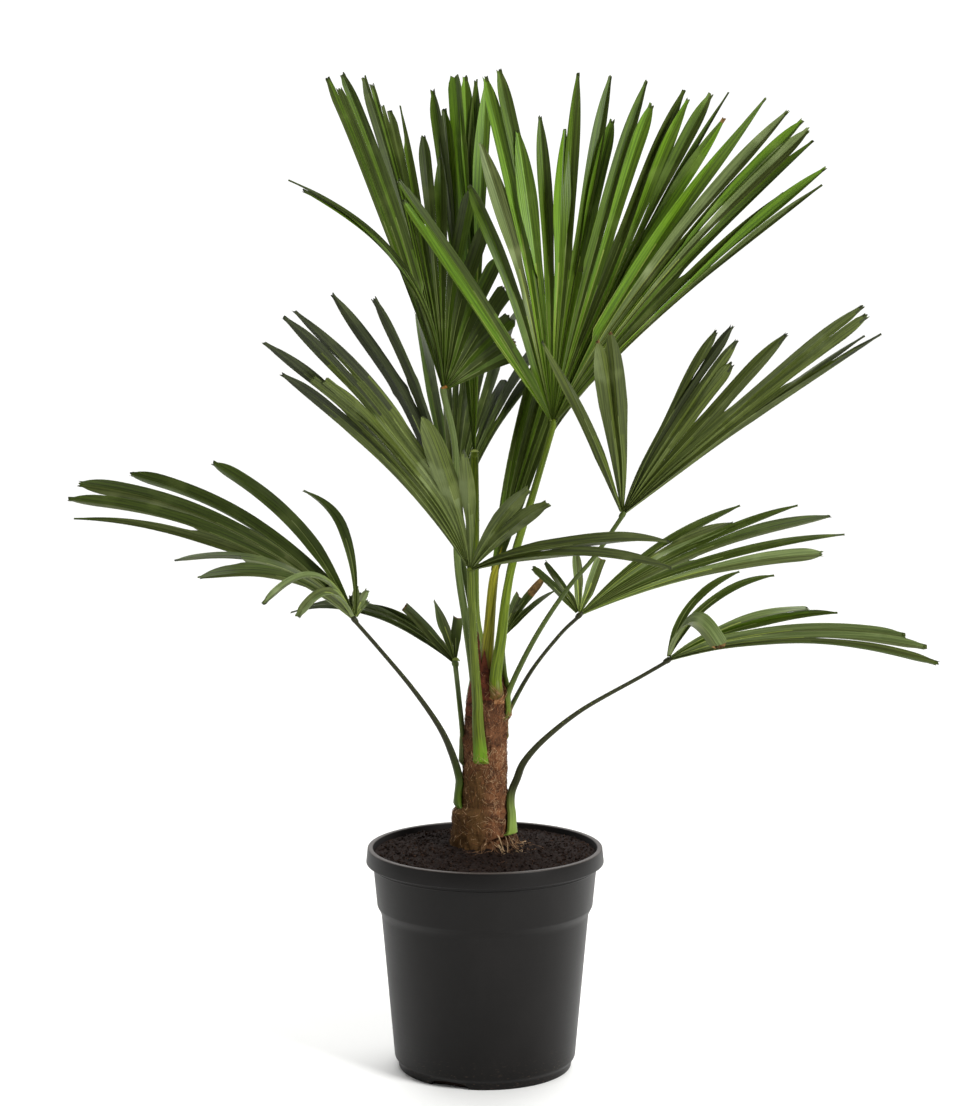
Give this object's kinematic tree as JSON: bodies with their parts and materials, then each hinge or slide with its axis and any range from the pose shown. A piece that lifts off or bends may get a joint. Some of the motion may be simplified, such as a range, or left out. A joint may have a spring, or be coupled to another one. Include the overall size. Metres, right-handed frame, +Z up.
{
  "type": "potted windmill palm",
  "caption": "Young fan palm with split, ribbed fans on long stalks over a short fibrous trunk, growing in a round black nursery pot that stands on its flat underside.",
  "frame": {"origin": "on the floor, at the middle of the flat underside of the pot", "axes": "+Z up along the trunk, -Y towards the side the picture was taken from, +X to the right of that view"},
  "size_m": [0.9921, 0.7443, 1.1897],
  "materials": {
    "pot": "satin",
    "soil": "matte",
    "bark": "matte",
    "stalk": "satin",
    "leaf": "satin"
  },
  "bodies": {
    "root": {"back_crown_fan": "leaf", "back_crown_stalk": "stalk", "back_fan": "leaf", "back_stalk": "stalk", "front_cut": "leaf", "front_left": "leaf", "front_middle": "leaf", "front_right": "leaf", "front_stalk": "stalk", "left_back_left": "leaf", "left_back_stalk": "stalk", "left_back_upright": "leaf", "left_crown_left": "leaf", "left_crown_middle": "leaf", "left_crown_right": "leaf", "left_crown_side": "leaf", "left_crown_stalk": "stalk", "left_lower_curl": "leaf", "left_lower_drooping": "leaf", "left_lower_far": "leaf", "left_lower_low": "leaf", "left_lower_stalk": "stalk", "left_lower_stubs": "leaf", "left_lower_upper": "leaf", "low_back_fan": "leaf", "low_back_stalk": "stalk", "pot": "pot", "rear_fan": "leaf", "rear_stalk": "stalk", "right_back_right": "leaf", "right_back_stalk": "stalk", "right_back_upright": "leaf", "right_crown_band": "leaf", "right_crown_edge": "leaf", "right_crown_middle": "leaf", "right_crown_right": "leaf", "right_crown_stalk": "stalk", "right_lower_folded": "leaf", "right_lower_middle": "leaf", "right_lower_outer": "leaf", "right_lower_stalk": "stalk", "right_lower_upper": "leaf", "right_upper_edge": "leaf", "right_upper_pair": "leaf", "right_upper_right": "leaf", "right_upper_single": "leaf", "right_upper_stalk": "stalk", "soil": "soil", "trunk": "bark", "young_leaf_fan": "leaf", "young_leaf_stalk": "stalk"}
  },
  "joints": []
}
